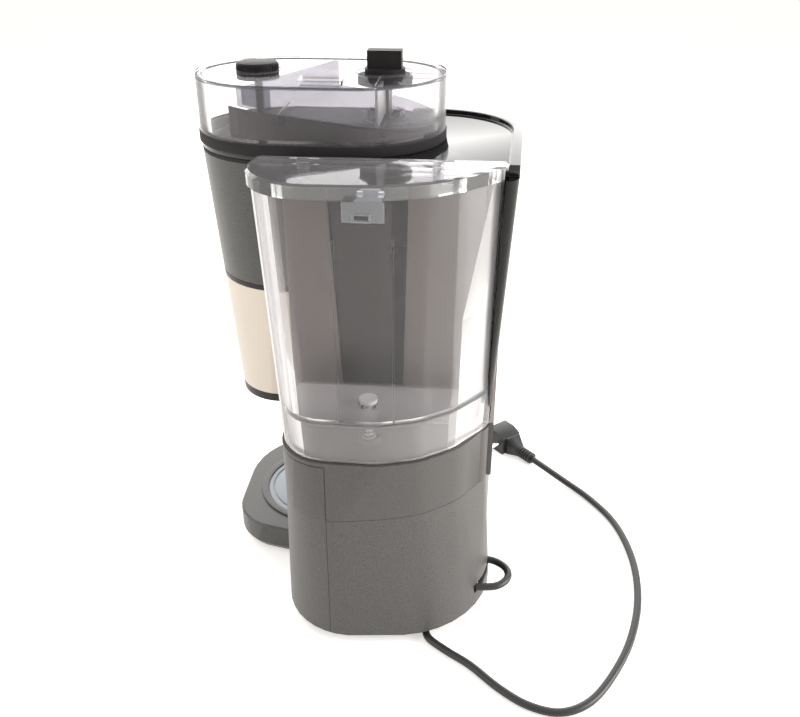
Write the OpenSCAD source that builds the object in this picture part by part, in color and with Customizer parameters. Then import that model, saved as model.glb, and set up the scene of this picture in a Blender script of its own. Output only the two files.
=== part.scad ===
// Grind and brew coffee maker with a rear water tank and a two-chamber bean hopper.
// Front is -Y, the tank is at +Y, the brew unit is on the +X side. Millimetres, floor at Z 0.

/* [Casing] */
// Height of the rubber feet
foot_h = 3; // [2:0.5:5]
// Thickness of the casing walls
wall = 3; // [2:0.25:3.5]
// Height of the jug deck
deck_z = 30; // [27:1:36]
// Height of the seam round the base
seam_z = 122; // [112:1:132]
// Height of the tank's seat
seat_z = 172; // [166:1:180]
// Height of the column under its top cover
top_z = 374; // [368:1:384]
// Thickness of the top cover
cover_t = 4; // [3:0.5:5]
// Height of the raised rim on the top cover
rim_h = 4; // [2:0.5:6]
// Width of the raised rim on the top cover
rim_w = 8; // [5:0.5:12]
// X of the rear cover's vertical seam
seam_x = 14.5; // [4:0.5:24]
// Radius of the rounding along the bottom edge
edge_r = 6; // [3:0.5:8]
// Depth of the channel behind the tank
channel_d = 6; // [4:0.5:7]
// Clearance between pieces that move past each other
clear = 0.4; // [0.3:0.05:0.6]
// Gap at fixed seams
gap = 0.3; // [0.2:0.05:0.5]

/* [Brew unit] */
// Underside of the brew head
head_z = 272; // [266:1:280]
// Lowest edge of the brew basket
basket_z = 153; // [146:1:158]
// Height of the black rim under the steel sleeve
basket_rim_h = 8; // [6:0.5:12]
// Height of the black ring over the steel sleeve
basket_ring_h = 4; // [3.5:0.5:6]
// Thickness of the steel sleeve
sleeve_t = 1; // [0.8:0.1:1.6]
// Radius of the filter cup at its mouth
cup_r = 44; // [38:0.5:46]
// Radius of the filter cup at its floor
cup_floor_r = 18; // [14:0.5:24]
// Radius of the basket's hinge pin
hinge_r = 2.5; // [2:0.25:3]
// Radius of the hot plate
plate_r = 52; // [46:0.5:54]
// Radius of the drip stop's stem
drip_r = 6; // [4:0.25:7]

/* [Water tank] */
// Height of the tank's floor over the seat
tank_floor_h = 30; // [22:1:38]
// Thickness of the tank walls
tank_wall = 2.5; // [2:0.25:3.5]
// Height of the lid's top over the top cover
lid_rise = 7; // [5:0.5:10]
// Height of the lid's skirt
lid_skirt = 10; // [8:0.5:14]
// Thickness of the lid
lid_t = 2; // [1.5:0.25:3]
// Width of the lid's clip
clip_w = 27; // [20:1:34]
// Height of the lid's clip
clip_h = 22; // [18:1:28]
// Radius of the tank valve's stem
valve_r = 3; // [2:0.25:4]

/* [Bean hopper] */
// Radius of the hopper's round ends
hopper_r = 67; // [64:0.5:68]
// Distance between the centres of the round ends
hopper_span = 58.5; // [50:0.5:64]
// Height of the hopper's wall
hopper_h = 40; // [34:1:50]
// Thickness of the hopper's walls
hopper_wall = 2.2; // [1.8:0.1:3]
// Height of the black collar under the hopper
collar_h = 8; // [8:0.5:12]
// Radius of the grind knob
grind_knob_r = 16; // [13:0.5:18]
// Height of the grind knob
grind_knob_h = 12; // [9:0.5:16]
// Ribs round the grind knob
grind_ribs = 36; // [24:2:48]
// Radius of the selector's lower disc
selector_r = 21; // [18:0.5:24]
// Length of the selector's wing grip
wing_l = 26; // [18:0.5:28]

/* [Grinder] */
// Teeth of the motor's pinion
pinion_teeth = 12; // [10:1:14]
// Teeth of the burr gear
gear_teeth = 36; // [34:2:38]
// Gear module
gear_m = 1.65; // [1.5:0.05:1.7]
// Teeth of the conical burrs
burr_teeth = 12; // [8:1:16]
// Radius of the conical burr at its foot
burr_r = 18; // [15:0.5:20]
// Length of the cranks that carry the grind setting
crank_l = 30; // [28:0.5:34]

/* [Controls] */
// Radius of the push buttons
button_r = 5; // [4:0.25:7]
// Radius of the strength dial
dial_r = 14; // [10:0.5:16]

/* [Cord] */
// Diameter of the mains cord
cord_d = 6.4; // [5:0.2:7]

/* [Hidden] */

// Thickness of the discs that a loft is drawn over, and facets of a lofted corner
eps = 0.02;
corner_fn = 36;
far = 400;
$fn = 64;

// Plan corners as [x, y, radius], at the floor, the seam, the seat and the top
// Rear curves are part of a wide circle, so only that part of it is set out, in smaller circles
bow_r = 50;
bow_turns = [78, 97, 116, 135];
function bow(c) = [for (a = bow_turns) [c[0] + (c[2] - bow_r) * cos(a), c[1] + (c[2] - bow_r) * sin(a), bow_r]];
lid_bow = [-15, 21, 100];
rear_floor = concat([[-0.5, 71.5, 58]], [for (a = bow_turns) [-31.5, 42.5, 84]], [[41, 50, 16], [-98, 50, 16]]);
rear_seam = concat([[9, 80, 44]], bow([-13, 20, 99.5]), [[38, 50, 16], [-92, 50, 16]]);
rear_seat = concat([[14, 80, 39.5]], bow([-13, 20, 100.5]), [[34, 50, 16], [-92, 50, 16]]);
tower_floor = [[-48, -42, 66.5], [-35, -99, 10], [-96, 54, 12], [-35, 42, 10]];
tower_top = [[-52, -55, 74], [-35, -107, 10], [-106.5, 54, 13], [-35, 42, 10]];
deck_plan = [[79.5, -20, 44], [54.5, -63.5, 69.5], [-48, -42, 66.5], [-35, 40, 10]];
tank_foot = concat([[14, 80, 37.5]], bow([-12, 20, 99]), [[-92, 52, 16]]);
lid_plan = concat([[16.5, 72, 50]], bow(lid_bow), [[-96, 58, 15.5]]);
tower_left = -25;
brew_c = [61, -36];
rear_front = brew_c[1] + hopper_r + 3;
spine = [[-112, rear_front], [48, 52.5]];
tank_back = 54.5;
cover_front = 50;

// Heights that follow from the sizes above
cover_top = top_z + cover_t;
hopper_z = cover_top + collar_h;
hopper_rim = hopper_z + hopper_h;
lid_top = cover_top + lid_rise;
tank_floor_z = seat_z + tank_floor_h;
tank_top = lid_top - lid_t - gap;
ring_z = head_z - clear - basket_ring_h;
sleeve_z = basket_z + basket_rim_h;
floor_plate_t = 2.5;
plate_z = foot_h + floor_plate_t;

// Axes
jug_c = [50, -46];
grind_c = [81, -36];
burr_c = [-17.5, -36];
valve_c = [-15.5, 85.5];
hinge_c = [-14, -92];
brew_taper = 0.0655;
gear_distance = gear_m * (gear_teeth + pinion_teeth) / 2;
motor_c = [burr_c[0] - gear_distance, burr_c[1]];

// Grinder levels, from the motor up to the hopper's outlet
motor_h = 62;
gear_h = 9;
gear_z = top_z - 66;
mill_z = gear_z + gear_h + 4;
burr_h = 26;
burr_z = mill_z + 14;
adjust_z = burr_z + burr_h - 6;
shaft_r = 4;
run = 0.06;
mill_r = 34;
spindle_r = 3;

// Controls on the front, down one line
panel_x = [-80, -31];
panel_z = [top_z - 148, top_z - 24];
control_x = -50;
display_z = top_z - 52;
dial_z = top_z - 88;
power_z = top_z - 116;
start_z = top_z - 136;
button_travel = 1.2;

black = "#1d1d1f";
gloss = "#0c0c0e";
steel = "#d9d5cb";
clear_tint = "#c9d2d6";
metal = "#a9abad";

function mix(a, b, t) = a + (b - a) * t;
function between(lo, hi, z0, z1, z) =
  [for (i = [0:len(lo) - 1]) mix(lo[i], hi[i], (z - z0) / (z1 - z0))];
function inset(ps, d) = [for (p = ps) [p[0], p[1], p[2] - d]];

// The brew unit's plan: round at the hopper, flatter at the rear towards the basket's rim
function brew_r(z) = hopper_r - brew_taper * (hopper_z - z);
basket_top = [[brew_c[0], brew_c[1], brew_r(head_z)], [brew_c[0], brew_c[1], brew_r(head_z)],
  [36, brew_c[1], 55]];
basket_foot = [[74, -38, 40], [70, -44, 42], [22, -40, 40]];
function basket_at(z) = between(basket_foot, basket_top, basket_z, head_z, z);
function head_plan(z) = [[brew_c[0], brew_c[1], brew_r(z)], [tower_left - 20, brew_c[1], brew_r(z)]];
function tower_at(z) = z <= seat_z ? tower_floor : between(tower_floor, tower_top, seat_z, top_z, z);
function tower_in(ps) = [for (i = [0:3]) i == 2 ? [ps[2][0] + 9, 34, 9] :
  [ps[i][0], ps[i][1], ps[i][2] - wall]];
function tank_at(z) = between(tank_foot, inset(lid_plan, lid_t + gap), seat_z, lid_top, z);
function front_y(z) = let (p = tower_at(z)[0]) p[1] - sqrt(pow(p[2], 2) - pow(control_x - p[0], 2));

// A solid between two plans at two heights
module loft(lo, z0, hi, z1) {
  if (lo == hi) hull() for (p = lo)
    translate([p[0], p[1], z0]) cylinder(r = p[2], h = z1 - z0, $fn = corner_fn);
  else hull() {
    for (p = lo) translate([p[0], p[1], z0]) cylinder(r = p[2], h = eps, $fn = corner_fn);
    for (p = hi) translate([p[0], p[1], z1 - eps]) cylinder(r = p[2], h = eps, $fn = corner_fn);
  }
}
module plan(ps) { hull() for (p = ps) translate([p[0], p[1]]) circle(r = p[2], $fn = corner_fn); }
module block(lo, hi) { translate(lo) cube(hi - lo); }
module at(c, z) { translate([c[0], c[1], z]) children(); }
// All that lies on the tower's side of its left wall
module tower_side(d) { block([-far, -far, -far], [tower_left - d, far, far]); }
module behind(y) { block([-far, y, -far], [far, far, far]); }

// A tube swept along points, square to the route at each
function unit(v) = v / norm(v);
function heading(p, i) = unit(p[min(i + 1, len(p) - 1)] - p[max(i - 1, 0)]);
module tube(p, r, sides, ref = [0, 0, 1]) {
  n = len(p);
  pts = [for (i = [0:n - 1]) let (t = heading(p, i), s = unit(cross(ref, t)), u = cross(t, s))
    for (k = [0:sides - 1]) p[i] + r * (cos(360 * k / sides) * s + sin(360 * k / sides) * u)];
  skin = [for (i = [0:n - 2], k = [0:sides - 1])
    let (a = i * sides + k, b = i * sides + (k + 1) % sides, c = b + sides, d = a + sides)
    each [[a, c, b], [a, d, c]]];
  ends = [for (k = [1:sides - 2]) each [[0, k, k + 1],
    [(n - 1) * sides, (n - 1) * sides + k + 1, (n - 1) * sides + k]]];
  polyhedron(points = pts, faces = concat(skin, ends));
}
// A smooth curve through hand-chosen points
function spline(p, steps) = [for (i = [0:len(p) - 2], j = [0:steps - 1])
  let (a = p[max(i - 1, 0)], b = p[i], c = p[i + 1], d = p[min(i + 2, len(p) - 1)], t = j / steps)
  b + (c - a) * t / 2 + (2 * a - 5 * b + 4 * c - d) * t * t / 2
  + (3 * b - a - 3 * c + d) * t * t * t / 2];
function curve(p, steps) = concat(spline(p, steps), [p[len(p) - 1]]);
function helix(c, z0, z1, r, turns, per) = [for (i = [0:turns * per])
  [c[0] + r * cos(360 * i / per), c[1] + r * sin(360 * i / per), mix(z0, z1, i / (turns * per))]];

// Casing
module rear_solid() {
  intersection() {
    union() {
      loft(inset(rear_floor, edge_r), foot_h, rear_floor, foot_h + edge_r);
      loft(rear_floor, foot_h + edge_r, rear_seam, seam_z);
    }
    behind(rear_front);
  }
}
module rear_hollow() {
  intersection() {
    union() {
      loft(inset(rear_floor, wall + edge_r), foot_h - 1, inset(rear_floor, wall), foot_h + edge_r);
      loft(inset(rear_floor, wall), foot_h + edge_r, inset(rear_seam, wall), seam_z + 1);
    }
    behind(rear_front + wall);
  }
}
// The room of the floor plate inside the shell
module plate_room(d, z0, z1) {
  loft(inset(rear_floor, wall + edge_r + d), z0, inset(rear_floor, wall + edge_r + d), z1);
  loft(inset(tower_floor, wall + 3 + d), z0, inset(tower_floor, wall + 3 + d), z1);
  loft(inset(deck_plan, wall + 4 + d), z0, inset(deck_plan, wall + 4 + d), z1);
}
deck_hollow_z = deck_z - wall;
cord_exit = [-63, 112, cord_d / 2 + 0.2];
loop_c = [-114, 62, 24];
notch_w = 10;
module cord_openings() {
  block([cord_exit[0] - notch_w - 4, 100, -1], [cord_exit[0] + notch_w, 140, cord_d + 1.6]);
  at(loop_c, loop_c[2]) cube([40, 44, cord_d + 1.2], center = true);
}
boss_r = 4.5;
screw_at = [[104, -14], [76, -108], [-14, -88], [0, -2]];
module base_shell() {
  color(black) difference() {
    union() {
      difference() {
        union() {
          rear_solid();
          intersection() {
            union() {
              loft(inset(tower_floor, 3), foot_h, tower_floor, foot_h + edge_r);
              loft(tower_floor, foot_h + edge_r, tower_floor, seam_z);
            }
            tower_side(0);
          }
          loft(inset(deck_plan, 4), foot_h, deck_plan, foot_h + edge_r);
          loft(deck_plan, foot_h + edge_r, deck_plan, deck_z - 2);
          loft(deck_plan, deck_z - 2, inset(deck_plan, 1.5), deck_z);
        }
        rear_hollow();
        intersection() {
          union() {
            loft(inset(tower_floor, wall + 3), foot_h - 1, inset(tower_floor, wall), foot_h + edge_r);
            loft(inset(tower_floor, wall), foot_h + edge_r, inset(tower_floor, wall), seam_z + 1);
          }
          tower_side(wall);
        }
        loft(inset(deck_plan, wall + 4), foot_h - 1, inset(deck_plan, wall), foot_h + edge_r);
        loft(inset(deck_plan, wall), foot_h + edge_r, inset(deck_plan, wall), deck_hollow_z);
      }
      for (p = screw_at) at(p, plate_z + gap) cylinder(r = boss_r, h = deck_hollow_z - plate_z);
    }
    at(jug_c, 0) cylinder(r = plate_r + gap, h = far);
    block([-far, cover_front, -1], [seam_x, far, seam_z + 1]);
    for (p = screw_at) at(p, 0) cylinder(r = 1.7, h = plate_z + 12);
    plate_room(0, foot_h - 2, plate_z + gap);
    for (p = [[tower_left, 12], [7, rear_front + 2]]) at(p, heater_z) cube([16, 16, 14], center = true);
    cord_openings();
  }
}
module rear_cover() {
  color(black) intersection() {
    difference() {
      rear_solid();
      rear_hollow();
      cord_openings();
    }
    block([-far, cover_front + gap, 0], [seam_x - gap, far, seam_z - gap]);
  }
}
module base_plate() {
  color(black) difference() {
    plate_room(gap, foot_h, plate_z);
    for (p = screw_at) at(p, 0) cylinder(r = 1.8, h = far);
    for (x = [-84:12:-36]) block([x, -60, -1], [x + 4, -20, far]);
    gland_frame() translate([-20, -gland_r - gap, -gland_l - 3 * gap]) cube([40, 2 * (gland_r + gap), 2 * gland_l]);
  }
}
feet_at = [[98, -48], [58, -112], [-52, -86], [-88, 52], [20, 92]];
module rubber_feet() {
  color("#2a2a2a") for (p = feet_at) at(p, 0) {
    cylinder(r1 = 8, r2 = 9, h = 1);
    translate([0, 0, 1]) cylinder(r = 9, h = foot_h - 1);
  }
}
module base_screws() {
  color(metal) for (p = screw_at) at(p, 0) {
    translate([0, 0, foot_h - 1.6]) cylinder(r = 3.2, h = 1.6);
    translate([0, 0, foot_h - 0.1]) cylinder(r = 1.5, h = floor_plate_t + 8);
  }
}

channel_top = [-43, 17];
channel_foot = [-39, 9];
module channel() {
  translate([0, spine[1][1] + 1, 0]) rotate([90, 0, 0]) linear_extrude(channel_d + 1)
    polygon([[channel_foot[0], tank_floor_z], [channel_foot[1], tank_floor_z],
      [channel_top[1], top_z + 1], [channel_top[0], top_z + 1]]);
}
module tank_space() {
  intersection() {
    loft(inset(tank_at(seat_z), -1), seat_z, inset(lid_plan, -1), lid_top + 1);
    behind(tank_back - 1);
  }
}
module panel_window(d) {
  block([panel_x[0] + d, -far, panel_z[0] + d], [panel_x[1] - d, -60, panel_z[1] - d]);
}
head_window = [[-78, 22], [head_z + 20, top_z + 1]];
module upper_casing() {
  color(black) difference() {
    union() {
      intersection() {
        loft(rear_seam, seam_z, rear_seat, seat_z);
        behind(rear_front);
      }
      intersection() {
        union() {
          loft(tower_floor, seam_z, tower_floor, seat_z);
          loft(tower_floor, seat_z, tower_top, top_z);
        }
        tower_side(0);
      }
      block([spine[0][0], spine[0][1], seam_z], [spine[1][0], spine[1][1], top_z]);
    }
    intersection() {
      loft(inset(rear_seam, wall), seam_z - 1, inset(rear_seat, wall), seat_z - seat_t);
      behind(rear_front + wall);
    }
    intersection() {
      union() {
        loft(tower_in(tower_floor), seam_z - 1, tower_in(tower_floor), seat_z);
        loft(tower_in(tower_floor), seat_z, tower_in(tower_top), top_z + 1);
      }
      tower_side(wall);
    }
    intersection() {
      loft(inset(rear_seat, wall), seat_z - seat_t - 1, inset(rear_seat, wall), seat_z + 1);
      behind(tank_back - 1);
    }
    difference() {
      union() {
        block([seam_x - gap, rear_front, seam_z - 1], [seam_x + gap, far, seat_z - step_drop]);
        block([seam_x, rear_front, seat_z - step_drop - 2 * gap], [far, far, seat_z - step_drop]);
      }
      loft(inset(rear_seam, groove_d), seam_z - 1, inset(rear_seat, groove_d), seat_z + 1);
    }
    tank_space();
    channel();
    panel_window(0);
    block([tower_left - 12, head_window[0][0], head_window[1][0]],
      [tower_left + 1, head_window[0][1], head_window[1][1]]);
  }
}
seat_t = 4;
step_drop = 3;
groove_d = 1;
spigot_r = 9;
module tank_seat() {
  color(black) difference() {
    intersection() {
      loft(inset(rear_seat, wall + gap), seat_z - seat_t, inset(rear_seat, wall + gap), seat_z);
      behind(tank_back - 1);
    }
    at(valve_c, 0) cylinder(r = spigot_r + run, h = far);
  }
}
module seat_spigot() {
  color("#6f7376") at(valve_c, 0) difference() {
    union() {
      translate([0, 0, seat_z - 24]) cylinder(r = 6, h = 20);
      translate([0, 0, seat_z - 8]) cylinder(r = spigot_r, h = 14);
      translate([0, 0, seat_z - 8]) cylinder(r = spigot_r + 3, h = 8 - seat_t);
    }
    translate([0, 0, seat_z - 25]) cylinder(r = 4, h = 26);
    translate([0, 0, seat_z + 1]) cylinder(r = spigot_r - 1.5, h = 10);
  }
}
module stadium(r) {
  for (x = [0, hopper_span]) translate([brew_c[0] - x, brew_c[1]]) circle(r = r);
  translate([brew_c[0] - hopper_span, brew_c[1] - r]) square([hopper_span, 2 * r]);
}
mouth_r = hopper_r - 8;
module top_cover() {
  color(gloss) difference() {
    union() {
      translate([0, 0, top_z]) linear_extrude(cover_t) difference() {
        union() {
          intersection() {
            plan(tower_top);
            translate([-far, -far / 2]) square([far + tower_left, far]);
          }
          plan(head_plan(top_z));
          translate(spine[0]) square(spine[1] - spine[0]);
        }
        stadium(mouth_r);
      }
      translate([0, 0, cover_top]) linear_extrude(rim_h) difference() {
        plan(tower_top);
        plan(inset(tower_top, rim_w));
        translate([-60, -95]) square(far);
        translate([tower_left - rim_w, -far / 2]) square(far);
      }
    }
    behind(tank_back - 1);
  }
}

// Bean hopper
collar_lip = 0.8;
module hopper_collar() {
  color(black) translate([0, 0, cover_top]) linear_extrude(collar_h) difference() {
    stadium(hopper_r + collar_lip);
    stadium(mouth_r + 3);
  }
}
hopper_floor_t = 2.5;
outlet_r = 13;
module half_moon(r, side) {
  intersection() {
    circle(r = r);
    translate([side > 0 ? spindle_r + 1 : -far - spindle_r - 1, -far / 2]) square(far);
  }
}
module hopper_shell() {
  color(clear_tint, 0.4) difference() {
    union() {
      translate([0, 0, hopper_z]) linear_extrude(hopper_h) difference() {
        stadium(hopper_r);
        stadium(hopper_r - hopper_wall);
      }
      translate([0, 0, hopper_z]) linear_extrude(hopper_floor_t) stadium(hopper_r - hopper_wall / 2);
      at(burr_c, hopper_z - 4) cylinder(r = outlet_r + 2, h = 4 + eps);
      at(grind_c, hopper_z) cylinder(r = spindle_r + 3, h = 8);
    }
    at(burr_c, hopper_z - 5) linear_extrude(10) half_moon(outlet_r, 1);
    at(burr_c, hopper_z - 5) linear_extrude(10) half_moon(outlet_r, -1);
    at(burr_c, hopper_z - 5) cylinder(r = spindle_r + run, h = 10);
    at(grind_c, hopper_z - 5) cylinder(r = spindle_r + run, h = 20);
  }
}
tray_t = 1.8;
tray_gap = 0.5;
shutter_t = 2.5;
shutter_z = hopper_z + hopper_floor_t + clear;
tray_z = shutter_z + shutter_t + clear;
tray_rim = hopper_rim - 1.5;
// The selector's lower disc is sunk below the hopper's rim
selector_z = hopper_rim - 7.5;
disc_h = 6.5;
wing_h = 13.5;
tray_slope = 0.155;
function tray_floor(x) = tray_z + 6.5 + tray_slope * (x - burr_c[0]);
// Ends of the wall that keeps the beans off the grind knob's spindle
tray_end = [[84, 28], [32, -100]];
module tray_plan() {
  intersection() {
    stadium(hopper_r - hopper_wall - tray_gap);
    polygon([tray_end[0], tray_end[1], [-far, -far], [-far, far], tray_end[0] + [10, far]]);
  }
}
module tray_slab(low, high) {
  translate([0, far / 2, 0]) rotate([90, 0, 0]) linear_extrude(far) polygon([[-100, tray_floor(-100) + low],
    [120, tray_floor(120) + low], [120, tray_floor(120) + high], [-100, tray_floor(-100) + high]]);
}
tab_x = [50, -24];
module bean_tray() {
  color(clear_tint, 0.4) difference() {
    intersection() {
      translate([0, 0, tray_z]) linear_extrude(tray_rim - tray_z) tray_plan();
      union() {
        tray_slab(-tray_t, 0);
        difference() {
          union() {
            translate([0, 0, tray_z]) linear_extrude(far) difference() {
              tray_plan();
              translate([-2 * tray_t, 0]) tray_plan();
              translate([burr_c[0] - far, -far / 2]) square(far);
            }
            block([burr_c[0] - tray_t / 2, -far, tray_z], [burr_c[0] + tray_t / 2, far, tray_rim]);
            at(burr_c, tray_z) cylinder(r = spindle_r + clear + tray_t, h = far);
          }
          at(burr_c, selector_z - 1) cylinder(r = selector_r + 1, h = far);
          tray_slab(-far / 4, -tray_t / 2);
        }
        at(burr_c, tray_z) linear_extrude(tray_floor(burr_c[0]) - tray_z) difference() {
          circle(r = outlet_r + tray_t);
          circle(r = outlet_r);
        }
        for (x = tab_x) block([x - 3.5, -20, tray_floor(x) - 9], [x + 3.5, 28, tray_floor(x) - tray_t / 2]);
      }
    }
    for (x = tab_x) block([x - 5, -22, tray_z - 1], [x + 5, 22, tray_floor(x) - tray_t - 1]);
    at(burr_c, 0) cylinder(r = spindle_r + clear, h = far * 2);
    for (s = [1, -1]) at(burr_c, tray_z - 1) linear_extrude(20) intersection() {
      half_moon(outlet_r, s);
      translate([s > 0 ? spindle_r + clear + tray_t : -far - spindle_r - clear - tray_t, -far / 2]) square(far);
    }
  }
}
hopper_lid_t = 2;
lid_split = 0.6;
lid_lip = 3;
module hopper_lid(side) {
  color(clear_tint, 0.4) difference() {
    intersection() {
      union() {
        translate([0, 0, hopper_rim + gap]) linear_extrude(hopper_lid_t) stadium(hopper_r);
        translate([0, 0, hopper_rim - 1]) linear_extrude(1 + gap + eps) difference() {
          stadium(hopper_r - hopper_wall - clear);
          stadium(hopper_r - hopper_wall - clear - lid_lip / 2);
        }
        lid_grip(side > 0 ? left_grip : right_grip);
      }
      block([side > 0 ? burr_c[0] + lid_split : -far, -far, 0],
        [side > 0 ? far : burr_c[0] - lid_split, far, 2 * far]);
    }
    at(burr_c, 0) cylinder(r = selector_r + 1.5, h = 2 * far);
    at(grind_c, 0) cylinder(r = grind_knob_r + 2.5, h = 2 * far);
    lid_grip_hollow(side > 0 ? left_grip : right_grip);
  }
}
// Raised boxes with a finger hollow, as corner, width and depth
left_grip = [6, 6, 32, 20];
right_grip = [-56, -32, 17, 24];
grip_rise = 5;
module lid_grip(g) {
  translate([g[0], g[1], hopper_rim + gap]) cube([g[2], g[3], grip_rise]);
}
module lid_grip_hollow(g) {
  translate([g[0] + 1.5, g[1] + 1.5, hopper_rim - 2]) cube([g[2] - 3, g[3] - 3, grip_rise + 1]);
}
module left_hopper_lid() { hopper_lid(1); }
module right_hopper_lid() { hopper_lid(-1); }

link_t = 2.4;
link_pin_r = 2;
link_z = cover_top + 1;
crank_z = link_z + link_t + clear;
knob_z = hopper_rim - 5;
module crank(c, z, h) {
  for (p = [c, c + [0, crank_l]]) at(p, z) cylinder(r = 5, h = h);
  translate([c[0] - 3, c[1], z]) cube([6, crank_l, h]);
}
module grind_knob() {
  color(black) {
    at(grind_c, knob_z) {
      for (i = [0:grind_ribs - 1]) rotate(360 / grind_ribs * i)
        translate([grind_knob_r - 0.6, -0.5, 0]) cube([1, 1, grind_knob_h - 1.5]);
      cylinder(r = grind_knob_r, h = grind_knob_h - 1);
      translate([0, 0, grind_knob_h - 1]) cylinder(r1 = grind_knob_r, r2 = grind_knob_r - 1, h = 1);
    }
    at(grind_c, crank_z) cylinder(r = spindle_r, h = knob_z - crank_z + 1);
    crank(grind_c, crank_z, link_t);
    at(grind_c + [0, crank_l], link_z) cylinder(r = link_pin_r, h = crank_z - link_z + 1);
  }
}
module grind_link() {
  color(metal) difference() {
    union() {
      for (c = [grind_c, burr_c]) at(c + [0, crank_l], link_z) cylinder(r = 5, h = link_t);
      block([burr_c[0], burr_c[1] + crank_l - 3, link_z],
        [grind_c[0], burr_c[1] + crank_l + 3, link_z + link_t]);
    }
    at(grind_c + [0, crank_l], 0) cylinder(r = link_pin_r + run, h = 2 * far);
    at(burr_c + [0, crank_l], 0) cylinder(r = link_pin_r + clear, h = 2 * far);
  }
}
module selector_knob() {
  color(black) {
    at(burr_c, selector_z) {
      cylinder(r = selector_r, h = disc_h);
      translate([0, 0, disc_h]) cylinder(r = selector_r - 5.5, h = disc_h - 1.5);
      translate([-wing_l / 2, -6.5, 2 * disc_h - 2]) cube([wing_l, 13, wing_h]);
    }
    at(burr_c, shutter_z + shutter_t) cylinder(r = spindle_r, h = selector_z - shutter_z - shutter_t + 1);
  }
}
module bean_shutter() {
  color("#44474a") at(burr_c, 0) {
    translate([0, 0, shutter_z]) linear_extrude(shutter_t) difference() {
      circle(r = outlet_r + 5);
      difference() {
        half_moon(outlet_r, 1);
        circle(r = spindle_r + 2);
      }
    }
    translate([0, 0, hopper_z - 1]) cylinder(r = spindle_r, h = shutter_z - hopper_z + 1);
  }
}

// Grinder
module gear(teeth, h, turn) {
  r = gear_m * teeth / 2;
  flank = 90 / teeth;
  rotate(turn) linear_extrude(h) union() {
    circle(r = r - 1.15 * gear_m);
    for (i = [0:teeth - 1]) rotate(360 / teeth * i) polygon([
      polar(r - 1.3 * gear_m, -1.15 * flank), polar(r, -0.86 * flank), polar(r + 0.8 * gear_m, -0.42 * flank),
      polar(r + 0.8 * gear_m, 0.42 * flank), polar(r, 0.86 * flank), polar(r - 1.3 * gear_m, 1.15 * flank)]);
  }
}
function polar(r, a) = [r * cos(a), r * sin(a)];
module burr_gear() {
  color(metal) at(burr_c, 0) {
    translate([0, 0, gear_z]) gear(gear_teeth, gear_h, 0);
    translate([0, 0, gear_z - 6]) cylinder(r = shaft_r, h = burr_z + burr_h - gear_z + 5);
  }
}
module motor_pinion() {
  color(metal) at(motor_c, 0) {
    translate([0, 0, gear_z]) gear(pinion_teeth, gear_h, 180 / pinion_teeth);
    translate([0, 0, gear_z - 12]) cylinder(r = shaft_r - 1, h = 12 + eps);
  }
}
module burr_star(r, d) {
  polygon([for (i = [0:burr_teeth - 1]) each [polar(r, 360 * i / burr_teeth),
    polar(r - d, 360 * (i + 0.3) / burr_teeth)]]);
}
burr_top_r = 9;
module burr_cone() {
  color(metal) at(burr_c, burr_z) difference() {
    linear_extrude(burr_h, scale = burr_top_r / burr_r, twist = 40, slices = 6) burr_star(burr_r, 2);
    translate([0, 0, -1]) cylinder(r = shaft_r + run, h = far);
  }
}
module burr_ring() {
  color(metal) at(burr_c, burr_z + 2) difference() {
    cylinder(r = burr_r + 8, h = burr_h - 8 - gap);
    translate([0, 0, -eps])
      linear_extrude(burr_h, scale = (burr_top_r + 6) / (burr_r + 3), twist = -30, slices = 5)
      burr_star(burr_r + 3, 1.5);
  }
}
module adjust_ring() {
  color("#3a3d40") difference() {
    union() {
      at(burr_c, adjust_z) cylinder(r = mill_r - 4, h = link_z - clear - adjust_z);
      translate([burr_c[0] - 3, burr_c[1] + 20, link_z - clear - link_t]) cube([6, crank_l - 20, link_t]);
      at(burr_c + [0, crank_l], link_z - clear - link_t) cylinder(r = 5, h = link_t);
      at(burr_c + [0, crank_l], link_z - clear - 1) cylinder(r = link_pin_r, h = link_t + clear + 1);
    }
    at(burr_c, 0) cylinder(r = outlet_r + 2.5, h = 2 * far);
  }
}
chute_w = 16;
module grinder_housing() {
  color("#33363a") difference() {
    union() {
      at(burr_c, mill_z) cylinder(r = mill_r, h = adjust_z - mill_z + 4);
      at(burr_c, gear_z - 10) difference() {
        cylinder(r = mill_r, h = mill_z - gear_z + 10 + eps);
        translate([0, 0, 6]) cylinder(r = gear_m * gear_teeth / 2 + 2.2, h = mill_z - gear_z + 1);
      }
      at(motor_c, gear_z - 10) cylinder(r = 27, h = 6);
      block([motor_c[0], motor_c[1] - 27, gear_z - 10], [burr_c[0], motor_c[1] + 27, gear_z - 4]);
    }
    at(burr_c, mill_z + 3) cylinder(r = mill_r - 4 + clear, h = far);
    at(burr_c, 0) cylinder(r = shaft_r + run, h = far);
    at(motor_c, 0) cylinder(r = shaft_r - 1 + run, h = far);
    at(motor_c, gear_z - 4 + eps) cylinder(r = gear_m * pinion_teeth / 2 + 3, h = gear_h + 6);
    block([burr_c[0] + 10, burr_c[1] - chute_w / 2, mill_z + 3],
      [burr_c[0] + far, burr_c[1] + chute_w / 2, mill_z + 15]);
  }
}
module grinder_motor() {
  color(metal) at(motor_c, 0) difference() {
    union() {
      translate([0, 0, gear_z - 10 - motor_h]) cylinder(r = 25, h = motor_h);
      translate([0, 0, gear_z - 16 - motor_h]) cylinder(r = 8, h = 7);
    }
    translate([0, 0, gear_z - 14]) cylinder(r = shaft_r, h = 10);
  }
}
chute_c = [30, -42];
chute_hole_r = 13;
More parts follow.
